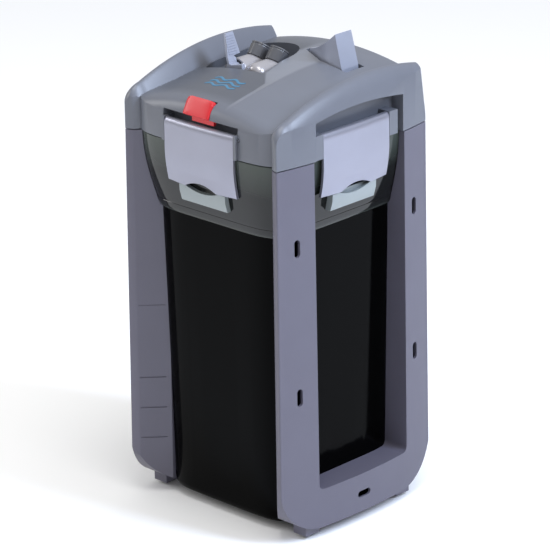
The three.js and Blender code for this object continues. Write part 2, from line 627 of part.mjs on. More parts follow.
function headBase() {
  const z0 = collar.ledgeZ + 3;
  const ductZ = z0 - 5.5;
  const size = collar.mouth - 0.6;
  let body = tower(z0, z0 + 5, 1, () => [size, size]);
  body = body.add(tower(z0 + 4, 470, 1, () => [102, 102]).subtract(tower(z0 + 5, 480, 1, () => [99, 99])));
  for (const side of sides) body = body.subtract(recess({ ...side, front: 82, rear: 82 })
    .subtract(box(-200, 200, -200, 200, 390, seamZ - 3)));
  body = body.add(post(pump.x, pump.y, z0 + 4, pump.canTopZ, pump.can, 28));
  for (const x of hose.xs) body = body.add(post(x, spigot.y, z0 - 8, 484, spigot.radius + 3.6, 24));
  const [inletX, outletX] = hose.xs;
  const ducts = [[inletX, spigot.y, riser.x, riser.y], [outletX, spigot.y, pump.x - 22, pump.y + 12]];
  const duct = ([ax, ay, bx, by], radius) => bar([ax, ay, ductZ], [bx, by, ductZ], radius, 16);
  for (const path of ducts) body = body.add(duct(path, 6.5));
  body = body.add(post(riser.x, riser.y, ductZ - 7, z0 + 1, riser.outer + 1.5, 20));
  body = body.add(post(pump.x, pump.y, z0 - 14, z0 + 1, 30, 36));
  for (const path of ducts) body = body.subtract(duct(path, 4.5));
  body = body.subtract(post(riser.x, riser.y, 400, ductZ + 2, riser.bore, 20));
  body = body.subtract(post(pump.x, pump.y, z0 - 20, z0 - 0.5, 26, 36));
  body = body.subtract(post(pump.x, pump.y, 400, pump.canTopZ - 3, pump.can - pump.canWall, 28));
  for (const x of hose.xs) body = body.subtract(post(x, spigot.y, ductZ - 3, 500, spigot.radius + 0.5, 28));
  body = body.subtract(post(primer.x, primer.y, 400, 500, primer.outer + gap, 28));
  add("head_base", body, finishes.black);
  const seal = tower(collar.ledgeZ + 0.3, z0 - 0.3, 1, () => [size - 0.5, size - 0.5])
    .subtract(tower(collar.ledgeZ - 2, z0 + 2, 1, () => [size - 4, size - 4]));
  add("head_gasket", seal, finishes.rubber);
}

function rotorSet() {
  const { x, y } = pump;
  const base = collar.ledgeZ + 3;
  const low = base - 12;
  const magnetTop = pump.canTopZ - 9;
  const magnet = ring(x, y, base + 2, magnetTop, pump.shaft + 0.5, pump.rotor, 28);
  add("rotor_magnet", magnet, finishes.magnet);
  let impeller = post(x, y, low + 2, base + 1.6, 7, 20);
  for (let i = 0; i < 6; i++) {
    const blade = box(0, 21, -0.9, 0.9, low + 2, base - 2).rotate([0, 0, 60 * i]).translate([x, y, 0]);
    impeller = impeller.add(blade);
  }
  impeller = impeller.subtract(post(x, y, 400, 500, pump.shaft + 0.5, 16));
  add("impeller", impeller, finishes.ceramic);
  add("pump_shaft", post(x, y, low - 2, pump.canTopZ - 4, pump.shaft, 16), finishes.ceramic);
  add("shaft_bush_upper", ring(x, y, magnetTop + 1, pump.canTopZ - 3.4, pump.shaft + 0.3, 8, 20), finishes.rubber);
  add("shaft_bush_lower", ring(x, y, low - 2.5, low + 0.8, pump.shaft + 0.3, 5, 20), finishes.rubber);
  const cover = post(x, y, low - 5.4, low - 2.4, 30, 36).add(ring(x, y, low - 3, low - 0.5, 5.4, 8, 20))
    .subtract(post(x, y, 400, 500, 5.4, 20).intersect(box(-50, 90, -90, 90, low - 3.4, 500)));
  const eyes = [0, 120, 240].map((turn) => box(10, 20, -5, 5, 400, 500).rotate([0, 0, turn]).translate([x, y, 0]));
  add("impeller_cover", eyes.reduce((body, eye) => body.subtract(eye), cover), finishes.black);
}

function stator() {
  const { x, y } = pump;
  const z0 = collar.ledgeZ + 9;
  const core = box(x - 30, x + 30, y - 24, y + 24, z0 + 4, z0 + 30)
    .subtract(post(x, y, 400, 560, pump.can + 0.6, 28))
    .subtract(box(x + 18, x + 23.5, y - 30, y + 30, 400, 560).intersect(box(0, 90, y - 14, y + 14, 400, 560)));
  const coil = box(x + 23.9 - 5.5, x + 23.1, y - 13.6, y + 13.6, z0 + 4, z0 + 30);
  add("stator_core", core, finishes.steel);
  add("stator_coil", coil, finishes.copper);
}

// ---- inside the canister ----
function basketOuter(z0, height, inset) {
  return upright(squircle(basket.halfX - inset, basket.halfY - inset, 32), z0, z0 + height)
    .subtract(post(riser.x, riser.y, z0 - 1, z0 + height + 1, riser.outer + 2 + inset, 16));
}

function baskets() {
  const fillings = [["media_bed_1", finishes.media], ["media_bed_2", finishes.media],
    ["media_bed_3", finishes.media]];
  for (let i = 0; i < basket.count; i++) {
    const z0 = basket.firstZ + i * basket.pitch;
    let body = basketOuter(z0, basket.pitch - 2, 0).subtract(basketOuter(z0 + 3, basket.pitch, basket.wall));
    for (let k = -3; k <= 3; k++) body = body.subtract(box(k * 22 - 4, k * 22 + 4, -62, 62, z0 - 1, z0 + 4));
    add("basket_" + (i + 1), body, finishes.basket);
    const inset = basket.wall + 1.5;
    if (i < 3) add(fillings[i][0], basketOuter(z0 + 3.6, basket.pitch - 12, inset), fillings[i][1]);
    else {
      add("coarse_pad", basketOuter(z0 + 3.6, 34, inset), finishes.coarse);
      add("fine_pad", basketOuter(z0 + 38.2, 30, inset), finishes.fine);
    }
  }
  add("inlet_riser", ring(riser.x, riser.y, basket.firstZ - 8, collar.ledgeZ - 10, riser.bore, riser.outer, 20),
    finishes.black);
}

// ---- rollers and cable gland ----
function rollers() {
  for (const [sx, nameX] of [[1, "right"], [-1, "left"]]) {
    for (const [sy, nameY] of [[-1, "front"], [1, "rear"]]) {
      const [x, y, z] = [sx * roller.x, sy * roller.y, roller.radius];
      const half = roller.width / 2;
      const profile = [[roller.axle + 0.3, -half], [roller.radius - 2, -half], [roller.radius, -half + 2],
        [roller.radius, half - 2], [roller.radius - 2, half], [roller.axle + 0.3, half],
        [roller.axle + 0.3, -half]].map(([r, s]) => new THREE.Vector2(r, s));
      const wheel = solid(new THREE.LatheGeometry(profile, 24).rotateZ(Math.PI / 2).translate(x, y, z));
      add("roller_" + nameY + "_" + nameX, wheel, finishes.rubber);
      const ends = [roller.x - 9, roller.x + 7].map((end) => [sx * end, y, z]);
      add("roller_axle_" + nameY + "_" + nameX, bar(...ends, roller.axle, 12), finishes.steel);
    }
  }
}

function cableGland() {
  const gland = bar([80, 108, 468], [80, 122.5, 468], 6, 20).subtract(bar([80, 100, 468], [80, 130, 468], 3.2, 16));
  add("cable_gland", gland, finishes.black);
}

canister();
sideFrames();
headCover();
headBase();
clips();
frontButton();
adapterBody();
hoseNozzles();
valvePlugs();
adapterLever();
primingHandle();
primingPump();
rotorSet();
stator();
baskets();
rollers();
cableGland();

export default root;
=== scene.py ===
# Canister filter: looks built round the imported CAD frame. Lengths in the code are millimetres.
import json
import math

import bmesh
import bpy
import numpy as np
from mathutils import Matrix, Vector


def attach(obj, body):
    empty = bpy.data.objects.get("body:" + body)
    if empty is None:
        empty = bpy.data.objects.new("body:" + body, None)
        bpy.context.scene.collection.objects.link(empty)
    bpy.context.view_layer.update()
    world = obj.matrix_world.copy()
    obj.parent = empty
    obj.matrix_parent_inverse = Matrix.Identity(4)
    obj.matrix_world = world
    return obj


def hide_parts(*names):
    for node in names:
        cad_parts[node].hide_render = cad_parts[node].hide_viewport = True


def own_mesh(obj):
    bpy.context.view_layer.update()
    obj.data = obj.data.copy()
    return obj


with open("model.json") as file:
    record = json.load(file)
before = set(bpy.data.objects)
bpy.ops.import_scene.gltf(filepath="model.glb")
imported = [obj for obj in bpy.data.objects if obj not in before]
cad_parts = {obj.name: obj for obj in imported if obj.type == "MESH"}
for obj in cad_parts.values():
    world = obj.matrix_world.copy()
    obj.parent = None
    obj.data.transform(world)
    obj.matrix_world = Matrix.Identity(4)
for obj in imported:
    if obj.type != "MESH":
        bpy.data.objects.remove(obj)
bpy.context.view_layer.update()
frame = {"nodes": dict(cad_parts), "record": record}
mm = 0.001
print("frame loaded:", len(frame["nodes"]), "nodes")

view = {"azimuth": 44.12, "elevation": 20.48, "roll": -0.90, "distance": 4.0,
        "aside": -0.0033, "aimHeight": 0.2686, "lens": 225.98}


def placeCamera():
    turn, lift, roll = (math.radians(view[key]) for key in ("azimuth", "elevation", "roll"))
    right = Vector((math.cos(turn), math.sin(turn), 0))
    ahead = Vector((-math.sin(turn), math.cos(turn), 0))
    forward = ahead * math.cos(lift) - Vector((0, 0, math.sin(lift)))
    up = ahead * math.sin(lift) + Vector((0, 0, math.cos(lift)))
    eye = right * view["aside"] + Vector((0, 0, view["aimHeight"])) - forward * view["distance"]
    across = right * math.cos(roll) + up * math.sin(roll)
    above = up * math.cos(roll) - right * math.sin(roll)
    camera = bpy.data.objects.new("camera", bpy.data.cameras.new("camera"))
    camera.data.lens = view["lens"]
    camera.data.sensor_width = 36
    camera.data.clip_end = 50
    axes = Matrix((across, above, -forward)).transposed().to_4x4()
    camera.matrix_world = Matrix.Translation(eye) @ axes
    bpy.context.scene.collection.objects.link(camera)
    bpy.context.scene.camera = camera
    bpy.context.scene.view_settings.view_transform = "Standard"


placeCamera()
print("camera placed")


def linear(hexColour):  # sRGB hex to linear RGBA
    channels = [int(hexColour[i:i + 2], 16) / 255 for i in (1, 3, 5)]
    return [c / 12.92 if c <= 0.04045 else ((c + 0.055) / 1.055) ** 2.4 for c in channels] + [1.0]


def addNode(tree, kind, inputs=None, settings=None):  # one node, its settings, and values or links in
    node = tree.nodes.new(kind)
    for key, value in (settings or {}).items():
        setattr(node, key, value)
    for key, value in (inputs or {}).items():
        if isinstance(value, bpy.types.NodeSocket):
            tree.links.new(value, node.inputs[key])
        else:
            node.inputs[key].default_value = value
    return node


def startMaterial(name):
    material = bpy.data.materials.new(name)
    material.use_nodes = True
    material.node_tree.nodes.clear()
    place = addNode(material.node_tree, "ShaderNodeTexCoord").outputs["Object"]
    return material, material.node_tree, place


def finishMaterial(material, tree, shader):
    addNode(tree, "ShaderNodeOutputMaterial", {"Surface": shader.outputs[0]})
    return material


def mouldedPlastic(name, colour, roughness, grain=0.8, depth=0.02, mottle=0.06, metallic=0.0, level=0.5):
    # injection-moulded plastic: spark-eroded grain (mm across, mm deep), faint flow clouds in the colour
    material, tree, place = startMaterial(name)
    clouds = addNode(tree, "ShaderNodeTexNoise", {"Vector": place, "Scale": 1000 / 45, "Detail": 3.0})
    base = linear(colour)
    dark = [c * (1 - mottle) for c in base[:3]] + [1]
    light = [min(1, c * (1 + mottle)) for c in base[:3]] + [1]
    tint = addNode(tree, "ShaderNodeMix", {0: clouds.outputs["Fac"], 6: dark, 7: light},
                   {"data_type": "RGBA"})
    texture = addNode(tree, "ShaderNodeTexNoise", {"Vector": place, "Scale": 1000 / grain, "Detail": 2.0})
    bump = addNode(tree, "ShaderNodeBump", {"Height": texture.outputs["Fac"], "Strength": 0.35,
                                            "Distance": depth * mm})
    handled = addNode(tree, "ShaderNodeTexNoise", {"Vector": place, "Scale": 1000 / 18, "Detail": 5.0})
    rough = addNode(tree, "ShaderNodeMapRange", {"Value": handled.outputs["Fac"], "To Min": roughness - 0.05,
                                                 "To Max": roughness + 0.05})
    shader = addNode(tree, "ShaderNodeBsdfPrincipled", {
        "Base Color": tint.outputs[2], "Roughness": rough.outputs[0], "Normal": bump.outputs[0],
        "Metallic": metallic, "Specular IOR Level": level})
    return finishMaterial(material, tree, shader)


def paintLightAndShade(material, attribute, dark, light):  # painted shade and painted light: the colour goes to dark or light where the attribute is -1 or 1
    tree = material.node_tree
    shader = next(node for node in tree.nodes if node.type == "BSDF_PRINCIPLED")
    colour = shader.inputs["Base Color"].links[0].from_socket
    paintedLightShade = addNode(tree, "ShaderNodeAttribute", settings={"attribute_name": attribute}).outputs["Fac"]
    for low, target in ((-1.0, dark), (1.0, light)):
        share = addNode(tree, "ShaderNodeMapRange", {"Value": paintedLightShade, "From Min": 0.0, "From Max": low})
        colour = addNode(tree, "ShaderNodeMix", {0: share.outputs[0], 6: colour, 7: linear(target)},
                         {"data_type": "RGBA"}).outputs[2]
    tree.links.new(colour, shader.inputs["Base Color"])
    return material


finishes = {
    # spark-eroded ABS: a satin purple-grey that breaks highlights up softly
    "frameAbs": mouldedPlastic("texturedAbsPurpleGrey", "#5d5b69", 0.42),
    # the same moulding in blue-grey, with painted shade darkening its middle tongue and a painted highlight lightening
    # the fold beside it
    "headAbs": paintLightAndShade(mouldedPlastic("texturedAbsBlueGreyPaintedLight", "#676a73", 0.34), "paintedLightShade", "#4c4f56", "#868992"),
    # ABS with aluminium pigment: silvery, brighter where it turns to the light
    "clipAbs": mouldedPlastic("silverPigmentAbs", "#9a9ba9", 0.3, metallic=0.62, depth=0.008),
    # finer pigment on the lever and handle: a paler silver
    "leverAbs": mouldedPlastic("silverPigmentAbsFine", "#a3a8b8", 0.34, grain=0.6, metallic=0.35, depth=0.008),
    # polished red ABS: an even warm red with a soft gloss
    "redAbs": mouldedPlastic("signalRedAbs", "#c9272e", 0.3, depth=0.004, mottle=0.03),
    # pearl-filled ABS: off-white with a faint metallic bloom
    "pearlAbs": mouldedPlastic("pearlAbs", "#a9a6a9", 0.24, grain=4, depth=0.004, metallic=0.4),
    # mirror-tooled ABS pipe: dark grey with narrow white highlights
    "hoseAbs": mouldedPlastic("polishedGreyAbs", "#4d4e53", 0.12, depth=0.003, level=0.9),
    # glass-filled nylon: dull black with a visible fibre bloom
    "blackAbs": mouldedPlastic("blackGlassFilledNylon", "#1a1a1c", 0.5),
    # smoked SAN with a dark inside: near black, glossy, faint drawn ripples
    "smokedSan": mouldedPlastic("smokedSanBlack", "#010101", 0.12, grain=60, depth=0.05, mottle=0.2, level=0.04),
    # the collar of the same SAN, painted lighter towards the top for light coming through it and darker lower down as
    # painted shade
    "smokedCollar": paintLightAndShade(mouldedPlastic("smokedSanCollarPaintedLight", "#141615", 0.08, grain=60, depth=0.05, mottle=0.15,
                                         level=0.4), "paintedLightShade", "#090a0b", "#474e49"),
    # thick clear lugs, painted pale grey-green for the light they gather
    "smokedBlockPaintedLight": mouldedPlastic("smokedSanThickPaintedLight", "#8e9698", 0.12, grain=20, depth=0.02, level=0.6),
    # moulded nitrile: matt charcoal
    "rubber": mouldedPlastic("nitrileRubber", "#232326", 0.75, grain=1.2, depth=0.04),
    # centreless-ground stainless: bright and slightly streaked
    "steel": mouldedPlastic("stainlessPin", "#c4c6ca", 0.28, grain=2, depth=0.004, metallic=1.0),
    # stacked iron sheet: dull metal
    "iron": mouldedPlastic("laminatedIron", "#6c6f72", 0.5, metallic=0.9),
    # enamelled wire: coppery and glossy
    "copper": mouldedPlastic("enamelledCopper", "#b4683a", 0.35, metallic=0.9),
    # sintered ferrite: dark and slightly gritty
    "ferrite": mouldedPlastic("sinteredFerrite", "#35373b", 0.5),
    # polished alumina: cream white
    "ceramic": mouldedPlastic("polishedAlumina", "#ebe8e1", 0.2, depth=0.004),
    # moulded polypropylene: waxy slate
    "basketAbs": mouldedPlastic("slatePolypropylene", "#3b4a52", 0.45),
    # sintered clay beads, drawn at their real 6 mm
    "granules": mouldedPlastic("sinteredClayGranules", "#b99a7a", 0.9, grain=6, depth=2.0, mottle=0.3),
    # open-cell foam with 2 mm pores
    "foam": mouldedPlastic("openCellFoam", "#3f6fa8", 0.95, grain=2, depth=1.0, mottle=0.15),
    # needled polyester fleece: white and fuzzy
    "fleece": mouldedPlastic("needledFleece", "#f0f0ec", 0.95, grain=1.5, depth=0.5),
    # pad-printed ink: flat muted blue
    "waveInk": mouldedPlastic("padPrintedInk", "#3f7898", 0.35, depth=0.004),
}
slotFinish = {
    "smoked_plastic": "smokedSan", "frame_plastic": "frameAbs", "head_plastic": "headAbs",
    "clip_plastic": "clipAbs", "adapter_plastic": "pearlAbs", "nozzle_plastic": "hoseAbs",
    "red_plastic": "redAbs", "black_plastic": "blackAbs", "basket_plastic": "basketAbs",
    "seal_rubber": "rubber", "roller_rubber": "rubber", "pin_steel": "steel", "stator_iron": "iron",
    "coil_copper": "copper", "magnet": "ferrite", "ceramic": "ceramic", "filter_media": "granules",
    "coarse_foam": "foam", "fine_fleece": "fleece",
}
for row in frame["record"]["subparts"]:  # carried-over CAD nodes
    held = frame["nodes"][row["node"]]
    held.data.materials.clear()
    held.data.materials.append(finishes[slotFinish[row["material_slot"]]])
print("materials made:", len(finishes))


def formFrom(points, faces):  # a loose mesh object from mm points; doubles merged, faces turned outwards
    mesh = bpy.data.meshes.new("form")
    mesh.from_pydata((np.asarray(points, float).reshape(-1, 3) * mm).tolist(), [], faces)
    work = bmesh.new()
    work.from_mesh(mesh)
    bmesh.ops.remove_doubles(work, verts=work.verts, dist=1e-7)
    bmesh.ops.recalc_face_normals(work, faces=work.faces)
    work.to_mesh(mesh)
    work.free()
    form = bpy.data.objects.new("form", mesh)
    bpy.context.scene.collection.objects.link(form)
    return form


# each pair of neighbouring rings is joined by quads, point by point
def loft(rings):  # closed rings (count, around, 3) joined in order, the first and last filled
    rings = np.asarray(rings, float)
    count, around = rings.shape[:2]
    i, j = np.meshgrid(np.arange(count - 1), np.arange(around), indexing="ij")
    a, b = i * around + j, i * around + (j + 1) % around
    quads = np.stack([a, b, b + around, a + around], -1).reshape(-1, 4).tolist()
    ends = [list(range(around))[::-1], list(range((count - 1) * around, count * around))]
    return formFrom(rings, quads + ends)


def prism(outline, axis, low, high):  # an outline carried along x (as y, z), y (as x, z) or z (as x, y)
    outline = np.asarray(outline, float)
    rings = []
    for along in (low, high):
        fill = np.full(len(outline), float(along))
        first, second = outline[:, 0], outline[:, 1]
        rings.append(np.stack({"x": [fill, first, second], "y": [first, fill, second],
                               "z": [first, second, fill]}[axis], -1))
    return loft(rings)


def block(x0, x1, y0, y1, z0, z1):
    return prism([[x0, y0], [x1, y0], [x1, y1], [x0, y1]], "z", z0, z1)


def spun(start, end, stations, sides=48):
    # rings about the line start-end: a station (s, r) is s mm along it at radius r
    start, end = np.asarray(start, float), np.asarray(end, float)
    along = (end - start) / np.linalg.norm(end - start)
    helper = np.array([0, 0, 1.0]) if abs(along[2]) < 0.9 else np.array([1.0, 0, 0])
    u = np.cross(along, helper)
    u /= np.linalg.norm(u)
    v = np.cross(along, u)
    t = np.linspace(0, 2 * np.pi, sides, endpoint=False)
    circle = np.cos(t)[:, None] * u + np.sin(t)[:, None] * v
    return loft([start + s * along + r * circle for s, r in stations])


def rod(start, end, radius, sides=48):
    length = float(np.linalg.norm(np.subtract(end, start)))
    return spun(start, end, [(0, radius), (length, radius)], sides)


def combine(target, other, operation):  # boolean of two closed forms; the second is used up
    step = target.modifiers.new("combine", "BOOLEAN")
    step.operation, step.solver, step.object = operation, "MANIFOLD", other
    graph = bpy.context.evaluated_depsgraph_get()
    shaped = bpy.data.meshes.new_from_object(target.evaluated_get(graph))
    target.modifiers.clear()
    target.data = shaped
    bpy.data.objects.remove(other, do_unlink=True)
    return target


def cut(target, *others):
    for other in others:
        combine(target, other, "DIFFERENCE")
    return target


def join(target, *others):
    for other in others:
        combine(target, other, "UNION")
    return target


def keepInside(target, other):
    return combine(target, other, "INTERSECT")


def turned(form, degrees):
    form.data.transform(Matrix.Rotation(math.radians(degrees), 4, "Z"))
    return form


def vertexPlaces(form):  # every vertex in mm
    points = np.empty(len(form.data.vertices) * 3, np.float32)
    form.data.vertices.foreach_get("co", points)
    return points.reshape(-1, 3) / mm


# stores each vertex's share of painted light (towards 1) and painted shade (towards -1)
def setPaintedLightShade(form, values):
    paintedLightShade = form.data.attributes.new("paintedLightShade", "FLOAT", "POINT")
    paintedLightShade.data.foreach_set("value", values.astype(np.float32))


def copied(form, mirror=False):
    twin = form.copy()
    twin.data = form.data.copy()
    if mirror:
        twin.data.transform(Matrix.Diagonal((-1, 1, 1, 1)))
        twin.data.flip_normals()
    bpy.context.scene.collection.objects.link(twin)
    return twin


def finishPiece(form, name, body, finish, nodes=(), bevel=0.5, angle=32, segments=2):
    # coplanar scraps dissolved, smooth faces with sharp edges past the angle, edges broken by the bevel
    form.name = name
    form.data.name = name
    work = bmesh.new()
    work.from_mesh(form.data)
    bmesh.ops.remove_doubles(work, verts=work.verts, dist=2e-6)
    bmesh.ops.dissolve_limit(work, angle_limit=math.radians(0.03), verts=work.verts, edges=work.edges)
    limit = math.radians(angle)
    for edge in work.edges:
        edge.smooth = not (len(edge.link_faces) == 2 and edge.calc_face_angle(0) > limit)
    for face in work.faces:
        face.smooth = True
        face.material_index = 0
    work.to_mesh(form.data)
    work.free()
    form.data.materials.clear()
    form.data.materials.append(finishes[finish])
    if bevel:
        rounding = form.modifiers.new("brokenEdges", "BEVEL")
        rounding.width = bevel * mm
        rounding.segments = segments
        rounding.limit_method = "ANGLE"
        rounding.angle_limit = limit
        rounding.harden_normals = True
        rounding.use_clamp_overlap = True
    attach(form, body)
    if nodes:
        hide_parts(*nodes)
    return form


def bezier(start, control, end, count):  # quadratic curve, both ends included
    t = np.linspace(0, 1, count)[:, None]
    return (1 - t) ** 2 * np.array(start) + 2 * t * (1 - t) * np.array(control) + t ** 2 * np.array(end)


def arc(centre, radius, startDegrees, endDegrees, count):
    t = np.radians(np.linspace(startDegrees, endDegrees, count))
    return np.stack([centre[0] + radius * np.cos(t), centre[1] + radius * np.sin(t)], -1)


def roundedOutline(points, radii, count=7):  # each corner of a polygon eased by its own radius
    points = np.asarray(points, float)
    rounded = []
    for index, radius in enumerate(radii):
        corner, before, after = points[index], points[index - 1], points[(index + 1) % len(points)]
        if radius <= 0:
            rounded.append(corner[None, :])
            continue
        back = corner + (before - corner) / np.linalg.norm(before - corner) * radius
        ahead = corner + (after - corner) / np.linalg.norm(after - corner) * radius
        rounded.append(bezier(back, corner, ahead, count))
    return np.concatenate(rounded)


canister = {"power": 6.5, "bottomZ": 10, "collarZ": 362, "seamZ": 451.0, "headZ": 452.2,
            "bottom": (98, 96), "top": (103, 103), "flare": 16, "lip": 2, "mouth": 107, "ledgeZ": 437.5}


def squircle(count=240):  # |x|^p + |y|^p = 1, spaced evenly along its length
    t = np.linspace(0, 2 * np.pi, 8001)
    bent = [np.sign(w) * np.abs(w) ** (2 / canister["power"]) for w in (np.cos(t), np.sin(t))]
    run = np.concatenate([[0], np.cumsum(np.hypot(np.diff(bent[0]), np.diff(bent[1])))])
    at = np.linspace(0, run[-1], count, endpoint=False)
    return np.stack([np.interp(at, run, bent[0]), np.interp(at, run, bent[1])], -1)


def squareTower(rows, count=240):  # the squircle scaled by each row of (half x, half y, z)
    unit = squircle(count)
    return loft([np.stack([unit[:, 0] * a, unit[:, 1] * b, np.full(count, float(z))], -1) for a, b, z in rows])


# the bucket's half sizes run straight from bottom to top
def bucketHalf(z, grow=0.0):
    share = min(1, (z - canister["bottomZ"]) / (canister["collarZ"] - canister["bottomZ"]))
    return [low + (high - low) * share + grow for low, high in zip(canister["bottom"], canister["top"])]


def collarHalf(z, grow=0.0):  # quarter-sine bowl from the collar's lower edge to the seam
    share = (z - canister["collarZ"]) / (451.6 - canister["collarZ"])
    swell = canister["lip"] + (canister["flare"] - canister["lip"]) * math.sin(math.pi / 2 * share)
    return [canister["top"][0] + swell + grow, canister["top"][1] + 1 + swell + grow]


def outerRows(grow=0.0):  # the skin of bucket and collar from the foot up, grown by a margin
    low = [(*bucketHalf(z, grow), z) for z in np.linspace(18, 360.6, 12)]
    foot = [(*bucketHalf(10, grow - 6), 10 - grow), (*bucketHalf(10, grow - 2), 11 - grow),
            (*bucketHalf(10, grow - 0.4), 14 - grow)]
    rim = canister["collarZ"]
    lip = [(*bucketHalf(rim, grow + 0.9), rim - 0.9 - grow), (*collarHalf(rim, grow - 0.2), rim - 0.4 - grow),
           (*collarHalf(rim, grow + 0.1), rim + 0.3)]
    band = [(*collarHalf(z, grow + 0.25), z) for z in (rim + 4, rim + 9.3)]
    band += [(*collarHalf(rim + 9.8, grow - 0.1), rim + 9.8)]
    bowl = [(*collarHalf(z, grow), z) for z in np.linspace(rim + 11, canister["seamZ"] - 0.7, 26)]
    return foot + low + lip + band + bowl + [(*collarHalf(canister["seamZ"], grow - 0.6), canister["seamZ"] + grow)]


sides = {"front": {"turn": 0, "reach": 125.5, "left": 58.5, "right": 58.5, "top": 488.6, "arch": 0},
         "right": {"turn": 90, "reach": 127, "left": 68, "right": 77, "top": 496, "arch": 7},
         "rear": {"turn": 180, "reach": 125.5, "left": 58.5, "right": 58.5, "top": 488.6, "arch": 0},
         "left": {"turn": -90, "reach": 127, "left": 77, "right": 68, "top": 496, "arch": 7}}
catch = {"half": 36, "low": 384, "high": 404, "curl": 5}


def vesselPiece():
    mouth, ledge = canister["mouth"], canister["ledgeZ"]
    inside = [(mouth + 0.5, mouth + 0.5, canister["seamZ"]), (mouth, mouth, canister["seamZ"] - 0.6),
              (mouth, mouth, ledge), (100, 100, ledge), (100, 100, 362), (95, 93, 16), (92, 90, 14)]
    form = squareTower(outerRows() + inside)
    for side in sides.values():
        inner = side["reach"] - 12.4
        pocket = block(-20, 20, -140, -inner, 421, 432)
        cut(form, turned(pocket, side["turn"]))
    piece = finishPiece(form, "smokedVessel", "filter", "smokedSan", ["canister_vessel"], bevel=0)
    piece.data.materials.append(finishes["smokedCollar"])
    heights = np.array([face.center.z for face in piece.data.polygons])
    onCollar = heights > (canister["collarZ"] - 1.2) * mm
    piece.data.polygons.foreach_set("material_index", onCollar.astype(np.int32))
    # painted light and painted shade on the collar: darkest a little above its lower edge, painted lighter up to the
    # seam
    z = vertexPlaces(piece)[:, 2]
    setPaintedLightShade(piece, np.interp(z, [361, 372, 392, 420, 451], [0.5, -0.9, -0.5, 0.25, 0.9]))


def catchPieces():
    blocks = None
    for side in sides.values():
        face = side["reach"] - catch["curl"]
        outline = [[-face + 4, catch["low"]], [-100, catch["low"]], [-100, catch["high"]], [-face, catch["high"]],
                   [-face + 0.4, catch["high"] - 8]]
        lug = prism(outline, "x", -catch["half"], catch["half"])
        scoop = rod([0, -face - 4, catch["high"] + 62], [0, -face + 6, catch["high"] + 62], 67, 160)
        cut(lug, scoop)
        turned(lug, side["turn"])
        blocks = lug if blocks is None else join(blocks, lug)
    cut(blocks, squareTower([(*collarHalf(z, -0.6), z) for z in np.linspace(365, 449, 12)], 120))
    # the lugs take the pale finish whose colour is painted light
    finishPiece(blocks, "smokedCatches", "filter", "smokedBlockPaintedLight", ["canister_vessel"], bevel=0.9)


vesselPiece()
catchPieces()
print("vessel made")

sideFrame = {"depth": 123.7, "side": 131, "radius": 650, "corner": 119.7, "nose": (109.2, 119.7), "spread": 1.024,
             "open": (84, 92), "low": 11, "bend": 60, "sill": 58, "window": (-71, 79), "wall": 3,
             "slotY": 97, "slotZ": (357, 179),
             "slotSize": (21, 8), "railSlotZ": 33, "rollerX": 116, "rollerY": 77, "grooves": (
                 (237, 0.5), (147, 0.9), (109, 0.9), (71, 0.9))}  # height and depth of each groove


# plan of a side frame: a slanted face, a tight corner, and a flank bowed as a parabola
def flankOutline(inner):
    bow = np.linspace(-(sideFrame["depth"] - 4), sideFrame["depth"] - 4, 61)
    flank = np.stack([sideFrame["side"] - bow ** 2 / (2 * sideFrame["radius"]), bow], -1)
    noseX, noseY = sideFrame["nose"]
    tip = [sideFrame["corner"] - 2, -(sideFrame["depth"] - 0.6)]
    corner = bezier(tip, [sideFrame["corner"] + 0.4, -sideFrame["depth"] - 0.2], flank[0], 7)[:-1]
    front = np.concatenate([[[inner, -sideFrame["open"][1]], [noseX - 0.6, -noseY + 0.7],
                             [noseX + 1, -noseY - 0.5]], corner])
    return np.concatenate([front, flank, front[::-1] * [1, -1]])


def hollowOutline():  # the outline drawn in by a wall and carried on past the open side
    (noseX, noseY), (openX, openY), wall = sideFrame["nose"], sideFrame["open"], sideFrame["wall"]
    slant = np.array([noseX - openX, noseY - openY])
    inward = slant[::-1] / np.hypot(*slant) * wall
    mouth = [openX - slant[0] + inward[0], -(openY - slant[1] - inward[1])]
    outline = flankOutline(openX)
    flank = outline[outline[:, 0] > noseX + 4]
    flank = np.stack([flank[:, 0] - wall, flank[:, 1] - wall * np.sign(flank[:, 1])], -1)
    nose = [noseX + wall / 3, -(noseY - 1.2 * wall)]
    return np.concatenate([[mouth, nose], flank, np.array([nose, mouth]) * [1, -1]])


# the U of a side frame from the side; trim shrinks it by a wall
def frameProfile(trim):
    deep = sideFrame["depth"] * sideFrame["spread"] - trim
    low = sideFrame["low"] + trim
    bend = sideFrame["bend"] - trim
    front, rear = sideFrame["window"]
    sill = sideFrame["sill"] - trim
    top = 470
    return np.concatenate([
        [[-deep, top]], arc([-deep + bend, low + bend], bend, 180, 270, 24),
        arc([deep - bend, low + bend], bend, 270, 360, 24), [[deep, top], [rear + trim, top]],
        bezier([rear + trim, sill + 8], [rear + trim, sill], [rear + trim - 8, sill], 8),
        bezier([front - trim + 8, sill], [front - trim, sill], [front - trim, sill + 8], 8), [[front - trim, top]]])


def spreadDown(form):  # the plan grows evenly from the seam to the foot
    points = np.empty(len(form.data.vertices) * 3, np.float32)
    form.data.vertices.foreach_get("co", points)
    points = points.reshape(-1, 3)
    seam = 0.4516
    grow = 1 + (sideFrame["spread"] - 1) * (seam - points[:, 2:]) / (seam - 0.006)
    points[:, :2] *= grow
    form.data.vertices.foreach_set("co", points.ravel())
    form.data.update()
    return form


# a slot's outline: two half circles joined by straights
def obround(length, width, centre, upright):
    half = (length - width) / 2
    shape = np.concatenate([arc([half, 0], width / 2, -90, 90, 13), arc([-half, 0], width / 2, 90, 270, 13)])
    return (shape[:, ::-1] if upright else shape) + centre


